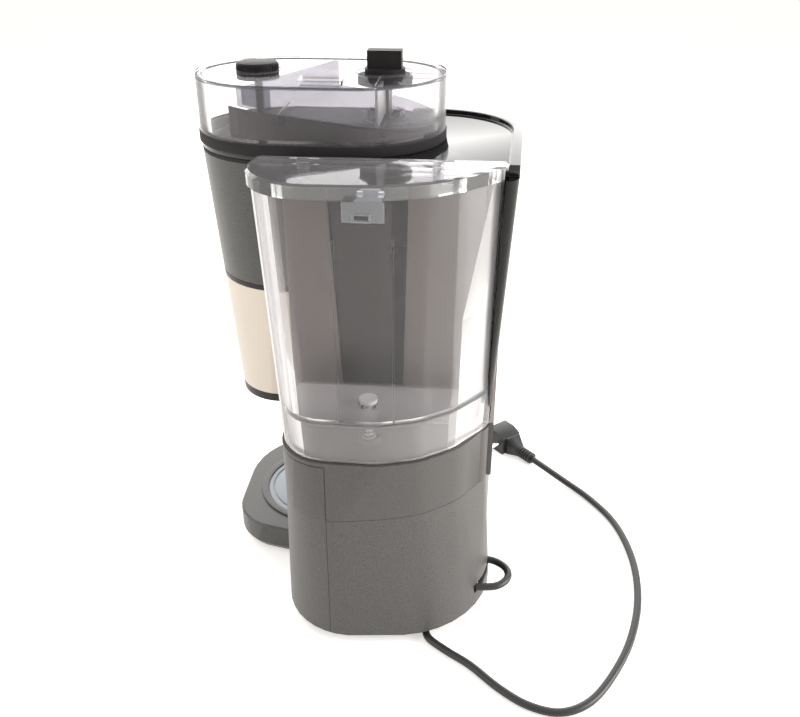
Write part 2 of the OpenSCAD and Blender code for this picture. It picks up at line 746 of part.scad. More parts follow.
module grounds_chute() {
  x0 = burr_c[0] + mill_r + gap;
  y0 = burr_c[1] - chute_w / 2;
  color("#33363a") difference() {
    union() {
      block([x0, y0 - 2, mill_z + 1], [chute_c[0] + 10, y0 + chute_w + 2, mill_z + 17]);
      at(chute_c, head_z + wall + gap) cylinder(r = chute_hole_r - 1, h = mill_z - head_z - 1);
    }
    block([x0 - 1, y0, mill_z + 3], [chute_c[0] + 8, y0 + chute_w, mill_z + 15]);
    at(chute_c, 0) cylinder(r = chute_hole_r - 3, h = mill_z + 5);
  }
}

// Brew unit
heater_r = 36;
heater_tube_r = 6;
heater_z = deck_z - 6 - heater_tube_r;
spray_c = [68, -40];
spray_r = 20;
module brew_head() {
  color(black) difference() {
    intersection() {
      loft(head_plan(head_z), head_z, head_plan(top_z), top_z - gap);
      block([tower_left + gap, -far, 0], [far, far, far]);
    }
    loft(inset(head_plan(head_z), wall), head_z + wall, inset(head_plan(top_z), wall), top_z + 1);
    at(chute_c, 0) cylinder(r = chute_hole_r - 3, h = far);
    at(spray_c, 0) cylinder(r = spray_r + gap, h = head_z + 20);
  }
}
module spray_head() {
  color("#5a5d60") at(spray_c, head_z) difference() {
    union() {
      cylinder(r = spray_r, h = wall + gap);
      translate([0, 0, wall + gap]) cylinder(r = spray_r + 3, h = 2);
      cylinder(r = 6, h = 14);
    }
    translate([0, 0, 2]) cylinder(r = 4.2, h = 20);
    for (i = [0:7]) rotate(45 * i) translate([11, 0, -1]) cylinder(r = 1.5, h = 10);
  }
}
riser_path = [[37.3, 4.8, heater_z], [35, 11, heater_z], [29, 15, heater_z],
  [20, 16, heater_z], [0, 14, heater_z],
  [-24, 12, heater_z], [-38, 12, heater_z + 4], [-45, 12, heater_z + 16], [-45, 12, 120], [-45, 12, 240],
  [-45, 12, top_z - 44], [-40, 12, top_z - 28], [-26, 10, top_z - 23], [0, 6, top_z - 24], [30, -4, top_z - 36],
  [54, -22, top_z - 52], [66, -36, head_z + 34], [68, -40, head_z + 22], [68, -40, head_z + 6]];
module riser_tube() { color("#b9bcbe") tube(curve(riser_path, 2), 4, 8, [0.2, 0.97, 0.13]); }
hose_path = [[valve_c[0], valve_c[1], seat_z - 24.3], [valve_c[0], valve_c[1], seat_z - 40],
  [-12, 84, 100], [-4, 78, 60],
  [2, 66, 30], [4, 50, heater_z + 1], [8, 36, heater_z], [22, 30, heater_z],
  [40, 26, heater_z], [55, 18, heater_z],
  [61, 11, heater_z], [62.7, 4.8, heater_z]];
module cold_hose() { color("#b9bcbe") tube(curve(hose_path, 2), 4, 8, [0.86, 0.5, 0.1]); }
// One bent tube: out to the hose, round under the plate, and out to the riser
heater_bend = [[52, 104], [46, 105], [40.5, 109], [37, 116]];
heater_polar = concat(heater_bend, [for (a = [126:12:414]) [heater_r, a]],
  [for (i = [3:-1:0]) [heater_bend[i][0], 540 - heater_bend[i][1]]]);
module heater() {
  color(metal) tube([for (p = heater_polar) concat(jug_c + polar(p[0], p[1]), heater_z)], heater_tube_r, 10);
}
module thermostat() {
  color("#8d8f92") at(jug_c, deck_z - 6) {
    translate([0, 0, -5]) cylinder(r = 8, h = 5);
    translate([-12, -4, -7]) cube([24, 8, 2 + eps]);
  }
}
module hot_plate() {
  color("#8f9aa3") at(jug_c, deck_z - 6) difference() {
    cylinder(r = plate_r, h = 6.5);
    translate([0, 0, 5.5]) difference() {
      cylinder(r = plate_r - 4, h = 2);
      translate([0, 0, -1]) cylinder(r = plate_r - 6, h = 4);
    }
  }
}
module hot_plate_ring() {
  color(black) at(jug_c, deck_z) difference() {
    cylinder(r = plate_r + 7, h = 1.6);
    translate([0, 0, -1]) cylinder(r = plate_r + gap, h = 4);
  }
}
module brew_sleeve() {
  color(steel) difference() {
    loft(basket_at(sleeve_z), sleeve_z + gap, basket_at(ring_z), ring_z - gap);
    loft(inset(basket_at(sleeve_z), sleeve_t), sleeve_z, inset(basket_at(ring_z), sleeve_t), ring_z);
  }
}
arm_w = 10;
cup_floor_z = basket_z + 13;
knuckle_r = 6;
module hinge_arm(z, h) {
  at(hinge_c, z) linear_extrude(h) {
    circle(r = knuckle_r);
    rotate(38) translate([0, -arm_w / 2]) square([44, arm_w]);
  }
}
module basket_holder() {
  color(black) difference() {
    union() {
      loft(basket_at(basket_z), basket_z, basket_at(sleeve_z), sleeve_z);
      loft(inset(basket_at(sleeve_z), sleeve_t + gap), sleeve_z,
        inset(basket_at(ring_z), sleeve_t + gap), ring_z);
      loft(basket_at(ring_z), ring_z, basket_at(head_z), head_z - clear);
      hinge_arm(basket_z, basket_rim_h);
      hinge_arm(ring_z, basket_ring_h);
      at(hook_c, basket_z + 1) linear_extrude(3) {
        circle(r = 5);
        rotate(-22) translate([-14, -4]) square([14, 8]);
      }
    }
    at(jug_c, 0) rotate_extrude() polygon([[0, 0], [drip_r + 5, 0], [drip_r + 5, basket_z + 7],
      [drip_r + run, basket_z + 7], [drip_r + run, cup_floor_z], [cup_floor_r, cup_floor_z],
      [cup_r, ring_z], [cup_r, far], [0, far]]);
    at(hinge_c, 0) cylinder(r = hinge_r + run, h = far);
    at(hook_c, 0) cylinder(r = 2 + run, h = far);
  }
}
grip_z = 206;
grip_h = 20;
module basket_grip() {
  color(black) difference() {
    translate([112, -62, grip_z]) rotate(-22) translate([-12, -4, 0]) cube([19, 8, grip_h]);
    loft(inset(basket_at(grip_z - 5), -gap), grip_z - 5, inset(basket_at(grip_z + grip_h + 5), -gap),
      grip_z + grip_h + 5);
    translate([112, -62, grip_z + 4]) rotate(-22) translate([-20, -10, 0]) cube([24, 20, grip_h - 8]);
  }
}
hook_c = [117, -56];
module basket_hook() {
  color(black) at(hook_c, basket_z + 4 + clear) {
    cylinder(r = 5, h = 5);
    translate([0, 0, -4 - clear - 2]) cylinder(r = 2, h = 7);
    translate([0, -14, 0]) cube([4.5, 14, 5]);
    translate([0, -14, 0]) cube([4.5, 3, 9]);
  }
}
bracket_t = 3;
module hinge_bracket() {
  color(black) difference() {
    union() {
      block([tower_left + gap, hinge_c[1] - 8, basket_z - 14],
        [tower_left + gap + bracket_t, hinge_c[1] + 8, ring_z - clear]);
      for (z = [basket_z - 10, ring_z - clear - 7]) {
        block([tower_left + gap, hinge_c[1] - knuckle_r, z], [hinge_c[0], hinge_c[1] + knuckle_r, z + 7]);
        at(hinge_c, z) cylinder(r = knuckle_r, h = 7);
      }
      at(hinge_c, basket_z - 3 - eps) cylinder(r = knuckle_r, h = 3 - clear + eps);
    }
    at(hinge_c, 0) cylinder(r = hinge_r + run, h = far);
  }
}
module basket_hinge_pin() {
  color(metal) at(hinge_c, basket_z - 12) cylinder(r = hinge_r, h = head_z - clear - 1 - basket_z + 12);
}
filter_t = 0.8;
filter_z = cup_floor_z + 10;
function cup_at(z) = mix(cup_floor_r, cup_r, (z - cup_floor_z) / (ring_z - cup_floor_z));
module filter_cone() {
  color("#c8b98f") at(jug_c, 0) rotate_extrude() polygon([[0, filter_z],
    [cup_at(filter_z) - 0.6, filter_z], [cup_r - 0.6, ring_z], [cup_r - 0.6, ring_z + 2],
    [cup_r - 4, ring_z + 2], [cup_r - 4, ring_z + 1],
    [cup_r - 0.6 - filter_t, ring_z], [cup_at(filter_z) - 0.6 - filter_t, filter_z + filter_t],
    [0, filter_z + filter_t]]);
}
module drip_stop() {
  color("#55585b") at(jug_c, 0) {
    translate([0, 0, cup_floor_z + clear]) cylinder(r = drip_r + 3, h = 3);
    translate([0, 0, basket_z - 3]) cylinder(r = drip_r, h = cup_floor_z - basket_z + 4);
    translate([0, 0, basket_z - 5]) cylinder(r = drip_r + 3.5, h = 2);
  }
}
spring_wire_r = 0.5;
module drip_spring() {
  color(metal) tube(helix(jug_c, basket_z - 3 + spring_wire_r + 0.1, basket_z + 7 - spring_wire_r - 0.1,
    drip_r + 1.5, 4, 10), spring_wire_r, 6);
}

// Water tank
mid_z = (seat_z + lid_top) / 2;
rib_x = [-37, 2];
module tank_shell() {
  color(clear_tint, 0.4) difference() {
    union() {
      difference() {
        intersection() {
          union() {
            loft(inset(tank_at(seat_z), 1.5), seat_z + gap, tank_at(seat_z + 3), seat_z + 3);
            loft(tank_at(seat_z + 3), seat_z + 3, tank_at(mid_z), mid_z);
            loft(tank_at(mid_z), mid_z, tank_at(lid_top - lid_skirt), lid_top - lid_skirt);
            loft(tank_at(lid_top - lid_skirt), lid_top - lid_skirt, tank_at(tank_top), tank_top);
          }
          behind(tank_back);
        }
        intersection() {
          union() {
            loft(inset(tank_at(tank_floor_z), tank_wall + 2), tank_floor_z + tank_wall,
              inset(tank_at(tank_floor_z + 4), tank_wall), tank_floor_z + 4 + tank_wall);
            loft(inset(tank_at(tank_floor_z + 4), tank_wall), tank_floor_z + 4 + tank_wall,
              inset(tank_at(mid_z), tank_wall), mid_z);
            loft(inset(tank_at(mid_z), tank_wall), mid_z, inset(tank_at(lid_top), tank_wall), lid_top);
          }
          behind(tank_back + tank_wall);
        }
        intersection() {
          loft(inset(tank_at(seat_z), tank_wall + 1.5), seat_z - 1,
            inset(tank_at(tank_floor_z), tank_wall + 1), tank_floor_z);
          behind(tank_back + tank_wall);
        }
        block([-far, tank_back - 1, lid_top - back_drop], [far, tank_back + tank_wall + 1, far]);
        for (x = lug_x) along_hinge(x - lug_w - boss_l - 2 * clear, 2 * (lug_w + boss_l + 2 * clear), lug_r + clear);
      }
      at(valve_c, tank_floor_z - 10) cylinder(r = valve_r + 5, h = 10 + tank_wall + 3);
      for (x = rib_x) intersection() {
        block([x - 0.6, 100, tank_floor_z + tank_wall], [x + 0.6, far, lid_top - lid_skirt - 28]);
        difference() {
          loft(inset(tank_at(tank_floor_z), tank_wall - 0.5), tank_floor_z,
            inset(tank_at(lid_top), tank_wall - 0.5), lid_top);
          loft(inset(tank_at(tank_floor_z), tank_wall + 1.5), tank_floor_z - 1,
            inset(tank_at(lid_top), tank_wall + 1.5), lid_top + 1);
        }
      }
      for (x = lug_x) block([x - lug_w, tank_back, lid_top - 16],
        [x + lug_w, tank_back + 2 * lug_r, lid_top - lug_r]);
      for (x = lug_x) along_hinge(x - lug_w, 2 * lug_w, lug_r);
    }
    at(valve_c, 0) cylinder(r = valve_r + clear, h = far);
    at(valve_c, tank_floor_z - 11) cylinder(r = valve_r + 3, h = 11 - 2);
    along_hinge(-far, 2 * far, trunnion_r + clear / 2);
  }
}
lug_x = [-70, 30];
lug_r = 2.6;
lug_w = 4;
boss_l = 6;
trunnion_r = 1.2;
lid_edge = 0.8;
skirt_gap = 15;
back_drop = 5;
module along_hinge(x, h, r) {
  translate([x, tank_back + lug_r, lid_top - lug_r]) rotate([0, 90, 0]) cylinder(r = r, h = h);
}
module tank_lid() {
  color(clear_tint, 0.4) difference() {
    union() {
      difference() {
        intersection() {
          union() {
            loft(lid_plan, lid_top - lid_skirt, lid_plan, lid_top - 2);
            loft(lid_plan, lid_top - 2, inset(lid_plan, 2), lid_top);
          }
          behind(tank_back + lid_edge);
        }
        loft(inset(lid_plan, lid_t), lid_top - lid_skirt - 1, inset(lid_plan, lid_t), lid_top - lid_t);
        block([-far, tank_back - 1, 0], [far, tank_back + skirt_gap, lid_top - lid_t]);
        for (x = lug_x) block([x - lug_w - clear, tank_back - 1, 0],
          [x + lug_w + clear, tank_back + 2 * lug_r + 1, 2 * far]);
      }
      for (x = lug_x) {
        along_hinge(x + lug_w + clear, boss_l, lug_r);
        along_hinge(x - lug_w - clear - boss_l, boss_l, lug_r);
        along_hinge(x + lug_w - 3, 4, trunnion_r);
        along_hinge(x - lug_w - 1, 4, trunnion_r);
      }
      for (s = [1, -1]) {
        block([neck_x + s * arm_x - 1.5, clip_y - 4.5, clip_z - 1.2],
          [neck_x + s * arm_x + 1.5, clip_y + 0.9, clip_z + 1.2]);
        translate([neck_x + s * (arm_x + 2), clip_y, clip_z]) rotate([0, 90, 0])
          cylinder(r = clip_pin_r, h = 8, center = true);
      }
    }
  }
}
clip_x = -19.5;
neck_x = -24.4;
clip_y = lid_bow[1] + lid_bow[2] + 2.2;
clip_z = lid_top - 4;
clip_t = 1.6;
clip_off = 1.7;
clip_pin_r = 1.1;
ear_r = 1.9;
arm_x = 3.2;
ear_x = 6.6;
clip_foot = clip_z + 4 - clip_h;
neck_z = clip_z - 5;
window = [12, 6];
module clip_face(y, t) { translate([0, y + t, 0]) rotate([90, 0, 0]) linear_extrude(t) children(); }
module lid_clip() {
  color("#d5dadc") difference() {
    union() {
      clip_face(clip_y + clip_off, clip_t) {
        translate([clip_x - clip_w / 2, clip_foot]) square([clip_w, neck_z - clip_foot]);
        polygon([[clip_x - clip_w / 2 + 1.5, neck_z - 1], [clip_x + 6, neck_z - 1], [neck_x + ear_x - 1, clip_z + 3.5],
          [neck_x - ear_x, clip_z + 3.5]]);
      }
      clip_face(clip_y + clip_off, clip_t + 1) translate([clip_x + 1 - window[0] / 2, clip_foot])
        square(window);
      for (s = [1, -1]) {
        translate([neck_x + s * ear_x, clip_y, clip_z]) rotate([0, 90, 0])
          cylinder(r = ear_r, h = 3.2, center = true);
        block([neck_x + s * ear_x - 1.6, clip_y, clip_z - ear_r],
          [neck_x + s * ear_x + 1.6, clip_y + clip_off + eps, clip_z + ear_r]);
      }
    }
    for (s = [1, -1]) translate([neck_x + s * ear_x, clip_y, clip_z]) rotate([0, 90, 0])
      cylinder(r = clip_pin_r + run, h = 6, center = true);
    clip_face(clip_y, 9) translate([clip_x + 1 - window[0] / 2 + 1.2, clip_foot + 1.2]) square(window - [2.4, 2.4]);
  }
}
valve_foot = seat_z + 3;
module tank_valve() {
  color("#6f7376") at(valve_c, 0) {
    translate([0, 0, tank_floor_z + tank_wall + 3 + clear]) cylinder(r = valve_r + 4, h = 3);
    translate([0, 0, valve_foot]) cylinder(r = valve_r, h = tank_floor_z + tank_wall + 5 - valve_foot);
    translate([0, 0, valve_foot]) cylinder(r = valve_r + 2.5, h = 2);
  }
}
module valve_spring() {
  color(metal) tube(helix(valve_c, valve_foot + 2 + spring_wire_r + 0.1, tank_floor_z - 2 - spring_wire_r - 0.1,
    valve_r + 1.6, 6, 10), spring_wire_r, 6);
}

// Controls
module panel_skin(d) {
  intersection() {
    difference() {
      loft(tower_floor, seat_z, tower_top, top_z);
      loft(inset(tower_floor, wall), seat_z - 1, inset(tower_top, wall), top_z + 1);
    }
    panel_window(d);
  }
}
display_size = [30, 20];
module across(z, y) { translate([control_x, y, z]) rotate([90, 0, 0]) children(); }
module front_panel() {
  color(gloss) difference() {
    union() {
      panel_skin(gap);
      for (s = [1, -1], z = [dial_z + 22, start_z + 8]) across(z, board_y)
        translate([s * 14, 0, 0]) cylinder(r = 3, h = board_y - front_y(z) - 2);
    }
    across(display_z, 0) translate([-display_size[0] / 2, -display_size[1] / 2, 0])
      cube([display_size[0], display_size[1], far]);
    across(dial_z, 0) cylinder(r = 4 + clear, h = far);
    for (z = [power_z, start_z]) across(z, 0) cylinder(r = button_r + clear, h = far);
  }
}
module display_lens() {
  color("#20262a") intersection() {
    panel_skin(gap);
    across(display_z, 0) translate([-display_size[0] / 2 + gap, -display_size[1] / 2 + gap, 0])
      cube([display_size[0] - 2 * gap, display_size[1] - 2 * gap, far]);
  }
}
board_y = front_y(top_z - 90) + 12;
module control_board() {
  color("#1f5a33") {
    block([control_x - 20, board_y, start_z - 12], [control_x + 18, board_y + 1.6, display_z + 12]);
    for (z = [power_z, start_z]) across(z, board_y + eps) cylinder(r = 3, h = 3);
    across(dial_z, board_y + eps) difference() {
      cylinder(r = 7, h = 5);
      translate([0, 0, 1]) cylinder(r = 4 + clear, h = 8);
    }
  }
}
module strength_dial() {
  color("#2b2b2d") {
    across(dial_z, front_y(dial_z + dial_r) - 1.2) difference() {
      cylinder(r = dial_r, h = 9);
      for (i = [0:23]) rotate(15 * i) translate([dial_r, 0, 2]) cylinder(r = 0.8, h = 9);
      translate([-0.8, dial_r - 6, 8.4]) cube([1.6, 4, 2]);
    }
    across(dial_z, board_y - 1.5 - clear) cylinder(r = 4, h = board_y - 1.5 - clear - front_y(dial_z + dial_r) + 2.5);
  }
}
module push_button(z) {
  back = board_y - 3 - clear - button_travel;
  color("#2b2b2d") across(z, back) cylinder(r = button_r, h = back - front_y(z) + 1.6);
}
module power_button() { push_button(power_z); }
module start_button() { push_button(start_z); }

// Mains cord
cord_z = cord_d / 2 + 0.2;
cord_route = [[-63, 112], [-67, 122], [-82, 134], [-101, 147], [-124, 168], [-146, 182], [-170, 186],
  [-193, 174], [-214, 146], [-233, 108], [-246, 61], [-249, 10], [-240, -40], [-220, -78],
  [-192, -110], [-164, -141]];
relief_l = 18;
relief_r = 6.2;
plug_z = relief_r + 0.3;
// The cord lies on the floor and rises into the plug
cord_points = [for (i = [0:15]) [cord_route[i][0], cord_route[i][1],
  i < 14 ? cord_z : mix(cord_z, plug_z, (i - 13) / 2)]];
loop_route = [[-108, 44, 24], [-120, 46, 24], [-129, 53, 24], [-132, 62, 24], [-129, 71, 24],
  [-120, 78, 24], [-104, 80, 24]];
module power_cord() { color("#161616") tube(curve(cord_points, 2), cord_d / 2, 10); }
module cord_loop() { color("#161616") tube(curve(loop_route, 3), cord_d / 2, 10); }
gland_l = 26;
gland_r = cord_d / 2 + 5;
cord_out = unit([cord_route[1][0] - cord_route[0][0], cord_route[1][1] - cord_route[0][1], 0]);
module gland_frame() {
  translate([cord_route[0][0], cord_route[0][1], cord_z]) rotate([0, 0, atan2(cord_out[1], cord_out[0])])
    rotate([0, 90, 0]) children();
}
module cord_gland() {
  color(black) gland_frame() translate([0, 0, -gland_l - 2 * gap]) intersection() {
    union() {
      cylinder(r1 = cord_d / 2 + 3, r2 = cord_d / 2 + 0.6, h = gland_l);
      cylinder(r = gland_r, h = 4);
    }
    translate([cord_z - eps - 20, -20, -1]) cube([20, 40, gland_l + 2]);
  }
}
plug_heading = unit([cord_route[15][0] - cord_route[14][0], cord_route[15][1] - cord_route[14][1], 0]);
head_h = 24;
pin_pitch = 19;
module plug_frame() {
  translate([cord_route[15][0], cord_route[15][1], 0])
    rotate([0, 0, atan2(plug_heading[1], plug_heading[0])]) children();
}
module plug_body() {
  color("#161616") plug_frame() {
    translate([0, 0, plug_z]) rotate([0, 90, 0]) {
      cylinder(r = relief_r - 1.1, h = relief_l + eps);
      for (i = [0:4]) translate([0, 0, i * relief_l / 5 + 0.8]) cylinder(r = relief_r, h = relief_l / 5 - 1.6);
    }
    translate([relief_l, 0, 0]) hull() {
      translate([0, 0, plug_z]) rotate([0, 90, 0]) cylinder(r = relief_r, h = 1);
      translate([12, -9, 0.3]) cube([4, 18, 19]);
    }
    translate([relief_l + 14, 14, 0]) rotate([90, 0, 0]) linear_extrude(25)
      polygon([[0, 0.3], [30, 0.3], [32, 4], [32, head_h - 9], [24, head_h], [10, head_h], [0, 19.5]]);
  }
}
module plug_pins() {
  color(metal) plug_frame() for (s = [1, -1])
    translate([relief_l + 30 + s * pin_pitch / 2, 14, head_h / 2]) rotate([-90, 0, 0]) {
      cylinder(r = 2.4, h = 17);
      translate([0, 0, 17]) cylinder(r1 = 2.4, r2 = 1.4, h = 2);
    }
}

base_shell();
base_plate();
rubber_feet();
base_screws();
rear_cover();
upper_casing();
tank_seat();
seat_spigot();
top_cover();
hopper_collar();
hopper_shell();
bean_tray();
left_hopper_lid();
right_hopper_lid();
grind_knob();
grind_link();
adjust_ring();
burr_ring();
selector_knob();
bean_shutter();
grinder_housing();
grinder_motor();
motor_pinion();
burr_gear();
burr_cone();
grounds_chute();
brew_head();
spray_head();
riser_tube();
cold_hose();
heater();
thermostat();
hot_plate();
hot_plate_ring();
brew_sleeve();
basket_holder();
basket_grip();
basket_hook();
hinge_bracket();
basket_hinge_pin();
filter_cone();
drip_stop();
drip_spring();
tank_shell();
tank_lid();
lid_clip();
tank_valve();
valve_spring();
front_panel();
display_lens();
control_board();
strength_dial();
power_button();
start_button();
cord_gland();
power_cord();
cord_loop();
plug_body();
plug_pins();
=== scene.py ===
"""Grind and brew coffee maker: looks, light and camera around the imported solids."""

import math

import bpy
from mathutils import Matrix, Vector


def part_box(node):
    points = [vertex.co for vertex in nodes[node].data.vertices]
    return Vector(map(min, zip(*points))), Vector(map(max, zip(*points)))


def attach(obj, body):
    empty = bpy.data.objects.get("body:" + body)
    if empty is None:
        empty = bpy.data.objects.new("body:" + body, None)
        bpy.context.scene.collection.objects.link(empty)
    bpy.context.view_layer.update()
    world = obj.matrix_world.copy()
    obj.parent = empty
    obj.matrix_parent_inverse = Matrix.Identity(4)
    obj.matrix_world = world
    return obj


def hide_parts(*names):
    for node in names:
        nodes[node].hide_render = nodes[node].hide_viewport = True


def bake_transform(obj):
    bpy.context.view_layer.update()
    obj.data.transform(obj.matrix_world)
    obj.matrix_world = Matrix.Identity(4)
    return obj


MM = 0.001

# Places on the casing where its finish changes, and HEAD_ROOF_Z, above which the brew head's roof carries
# painted shade
SEAT_Z = 173 * MM
WING_Z = 175 * MM
WING_X = -97 * MM
WING_Y = 53.2 * MM
COLUMN_Y = 45.5 * MM
CHANNEL_Y = (40 * MM, 50.5 * MM)
CHANNEL_X = -80 * MM
CHANNEL_Z = 200 * MM
HEAD_ROOF_Z = 371 * MM
TANK_FLOOR_Z = 206 * MM

# The camera, from a fit to the photograph
IMAGE_W = 800
FOCAL_PIXELS = 850
CAMERA_AT = Vector((-87.3, 632.4, 540)) * MM
CAMERA_PITCH = math.radians(28.2)
CAMERA_SWING = math.radians(5)

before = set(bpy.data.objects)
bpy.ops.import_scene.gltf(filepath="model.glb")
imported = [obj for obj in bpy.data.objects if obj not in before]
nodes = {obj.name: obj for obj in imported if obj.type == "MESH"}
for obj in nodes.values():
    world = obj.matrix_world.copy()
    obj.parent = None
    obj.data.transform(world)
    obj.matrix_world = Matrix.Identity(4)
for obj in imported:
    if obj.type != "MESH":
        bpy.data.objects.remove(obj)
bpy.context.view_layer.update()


class Flow:
    """A socket of a shader tree. Sums on it add Math nodes."""

    def __init__(self, finish, socket):
        self.finish = finish
        self.socket = socket

    def math(self, operation, first, second=0.0):
        return self.finish.node("ShaderNodeMath", {"operation": operation}, {0: first, 1: second})

    def __add__(self, other):
        return self.math("ADD", self, other)

    def __sub__(self, other):
        return self.math("SUBTRACT", self, other)

    def __rsub__(self, other):
        return self.math("SUBTRACT", other, self)

    def __mul__(self, other):
        return self.math("MULTIPLY", self, other)

    def __gt__(self, other):
        return self.math("GREATER_THAN", self, other)

    def __lt__(self, other):
        return self.math("LESS_THAN", self, other)

    __radd__ = __add__
    __rmul__ = __mul__


class Finish:
    """A material, or a world, built from expressions on flows."""

    def __init__(self, owner):
        self.owner = owner
        owner.use_nodes = True
        self.tree = owner.node_tree
        self.tree.nodes.clear()

    def node(self, kind, settings=None, sockets=None, output=0):
        """Adds a node with its settings first, then the values or links of its sockets."""
        made = self.tree.nodes.new(kind)
        for key, value in (settings or {}).items():
            setattr(made, key, value)
        for key, value in (sockets or {}).items():
            if isinstance(value, Flow):
                self.tree.links.new(value.socket, made.inputs[key])
            else:
                made.inputs[key].default_value = value
        return None if output is None else Flow(self, made.outputs[output])

    def place(self):
        """Object coordinates, in metres."""
        return self.node("ShaderNodeTexCoord", output="Object")

    def stretched(self, scale):
        return self.node("ShaderNodeMapping", {}, {"Vector": self.place(), "Scale": scale})

    def noise(self, scale, detail=2.0, vector=None):
        sockets = {"Vector": vector or self.place(), "Scale": scale, "Detail": detail}
        return self.node("ShaderNodeTexNoise", {}, sockets, "Fac")

    def tint(self, mask, low, high):
        """A colour between two others, which may be flows or plain tones."""
        ends = [tone if isinstance(tone, Flow) else (*tone, 1.0) for tone in (low, high)]
        return self.node("ShaderNodeMix", {"data_type": "RGBA"}, {0: mask, 6: ends[0], 7: ends[1]}, 2)

    def multiplied(self, first, second):
        """The product of two colours."""
        settings = {"data_type": "RGBA", "blend_type": "MULTIPLY"}
        return self.node("ShaderNodeMix", settings, {0: 1.0, 6: first, 7: second}, 2)

    def axes(self):
        """Object coordinates as three flows."""
        return [self.node("ShaderNodeSeparateXYZ", {}, {0: self.place()}, axis) for axis in range(3)]

    def bump(self, height, strength, distance):
        return self.node("ShaderNodeBump", {}, {"Height": height, "Strength": strength, "Distance": distance})

    def principled(self, **sockets):
        names = {key.replace("_", " "): value for key, value in sockets.items()}
        return self.node("ShaderNodeBsdfPrincipled", {}, names)

    def mix(self, factor, first, second):
        return self.node("ShaderNodeMixShader", {}, {0: factor, 1: first, 2: second})

    def surface(self, shader, output="ShaderNodeOutputMaterial"):
        self.node(output, {}, {"Surface": shader}, None)
        return self.owner


def new_finish(name):
    return Finish(bpy.data.materials.new(name))


def speckle(finish, scale=1100, contrast=2.6):
    """Fine grain of a spark-eroded mould, about 0.5."""
    return (finish.noise(scale, 3) - 0.5) * contrast + 0.5


def grain_bump(finish, speck):
    return finish.bump(speck, 0.12, 0.3 * MM)


def shaded(tone, share):
    return [channel * share for channel in tone]


def grained_plastic(name, tone, rough=0.42, grain=0.32):
    """Moulded plastic with a fine grain."""
    finish = new_finish(name)
    speck = speckle(finish)
    shader = finish.principled(
        Base_Color=finish.tint(speck, shaded(tone, 1 - grain), shaded(tone, 1 + grain)),
        Roughness=rough + 0.12 * (speck - 0.5),
        Normal=grain_bump(finish, speck),
    )
    return finish.surface(shader)


def column_plastic(name, band, column, recess, rough=0.45, grain=0.32):
    """Grained casing: paler behind the tank, darker in the channel there and glossy on the wing beside it."""
    finish = new_finish(name)
    x, y, z = finish.axes()
    behind_tank = (z > SEAT_Z) * (y > COLUMN_Y)
    channel = (y > CHANNEL_Y[0]) * (y < CHANNEL_Y[1]) * (z > CHANNEL_Z) * (x > CHANNEL_X)
    wing = (x < WING_X) * (y > WING_Y) * (z > WING_Z)
    speck = speckle(finish)
    body = finish.tint(behind_tank, band, column)
    skin = finish.tint(channel, body, recess)
    casing = finish.principled(
        Base_Color=finish.multiplied(skin, finish.tint(speck, [1 - grain] * 3, [1.0] * 3)),
        Roughness=rough,
        Normal=grain_bump(finish, speck),
    )
    gloss = finish.principled(Base_Color=(0.008, 0.008, 0.008, 1.0), Roughness=0.08, IOR=1.22)
    return finish.surface(finish.mix(wing, casing, gloss))


def head_plastic(name, tone, roof_shade_tone, rough=0.38, grain=0.3):
    """Grained black casing; on its roof under the hopper it is dull and painted darker still, as painted
    shade.
    """
    finish = new_finish(name)
    # Painted shade: above HEAD_ROOF_Z the roof under the hopper gets a near-black tone
    roof = finish.axes()[2] > HEAD_ROOF_Z
    speck = speckle(finish)
    body = finish.tint(speck, shaded(tone, 1 - grain), shaded(tone, 1 + grain))
    shader = finish.principled(
        Base_Color=finish.tint(roof, body, roof_shade_tone),
        Roughness=rough + 0.5 * roof,
        Normal=grain_bump(finish, speck),
    )
    return finish.surface(shader)


def plain_plastic(name, tone, rough=0.35, bend=1.5):
    """Plastic of one tone. A low bend gives it little gloss."""
    finish = new_finish(name)
    return finish.surface(finish.principled(Base_Color=(*tone, 1.0), Roughness=rough, IOR=bend))


